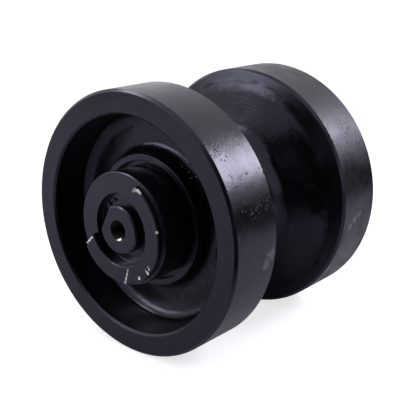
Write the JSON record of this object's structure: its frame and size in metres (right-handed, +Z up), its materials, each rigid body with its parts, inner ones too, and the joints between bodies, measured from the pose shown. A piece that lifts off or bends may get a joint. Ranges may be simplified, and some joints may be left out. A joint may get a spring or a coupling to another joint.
{
  "type": "track idler",
  "caption": "Double-rimmed spool-shaped crawler track roller on a fixed axle, with dished rims, end collars with a stepped face and floating face seals.",
  "frame": {"origin": "middle of the roller, on the axle's centre line", "axes": "+Y along the axle, away from the end that the picture shows; +Z up; -X to the picture's left"},
  "size_m": [0.27, 0.2732, 0.27],
  "materials": {
    "shell_enamel": "satin black enamel over a forged and turned shell, smoother on the treads",
    "weld_enamel": "satin black enamel over a rippled weld bead",
    "collar_enamel": "satin black enamel, chipped to bare metal at the corners",
    "axle_enamel": "satin black enamel on the visible ends, ground steel inside",
    "clip_steel": "black oversprayed spring steel",
    "plug_steel": "zinc-plated",
    "bush_bronze": "turned bronze",
    "seal_iron": "lapped on the running face",
    "seal_rubber": "matte nitrile rubber"
  },
  "bodies": {
    "axle": {"axle": "axle_enamel", "oil_plug": "plug_steel", "far_fixed_seal_ring": "seal_iron", "near_fixed_seal_ring": "seal_iron", "far_fixed_rubber_ring": "seal_rubber", "near_fixed_rubber_ring": "seal_rubber", "far_cord_ring": "seal_rubber", "near_cord_ring": "seal_rubber", "far_collar": "collar_enamel", "near_collar": "collar_enamel", "far_retaining_ring": "clip_steel", "near_retaining_ring": "clip_steel"},
    "roller": {"waist_weld": "weld_enamel", "far_shell_half": "shell_enamel", "near_shell_half": "shell_enamel", "far_bush": "bush_bronze", "near_bush": "bush_bronze", "far_turning_seal_ring": "seal_iron", "near_turning_seal_ring": "seal_iron", "far_turning_rubber_ring": "seal_rubber", "near_turning_rubber_ring": "seal_rubber"}
  },
  "joints": [
    {"name": "roller_spin", "type": "hinge", "parent": "axle", "child": "roller", "pos_m": [0, 0, 0], "axis": [0, 1, 0], "continuous": true}
  ]
}
